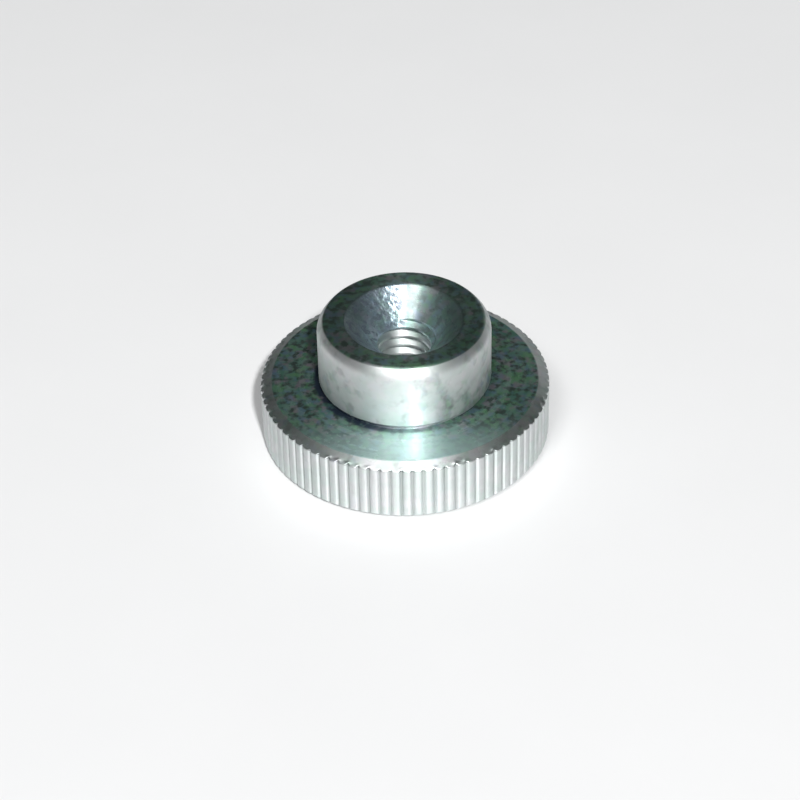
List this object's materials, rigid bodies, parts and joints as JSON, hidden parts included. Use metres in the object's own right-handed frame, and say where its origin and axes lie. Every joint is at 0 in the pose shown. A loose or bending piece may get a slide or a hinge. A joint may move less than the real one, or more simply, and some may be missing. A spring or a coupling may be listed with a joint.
{
  "type": "knurled thumb nut",
  "caption": "Knurled thumb nut: a wide flange with a straight-knurled rim, a plain round collar and a countersunk threaded hole.",
  "frame": {"origin": "thread axis, at the flange's outer face", "axes": "+Z along the thread axis, from the flange towards the collar; X and Y are equal, because the nut is round, and a knurl land lies on each"},
  "size_m": [0.0268, 0.0268, 0.0125],
  "materials": {
    "zinc_plated_steel": "turned, with bright blue-white zinc plating"
  },
  "bodies": {
    "root": {"thumb_nut": "zinc_plated_steel"}
  },
  "joints": []
}
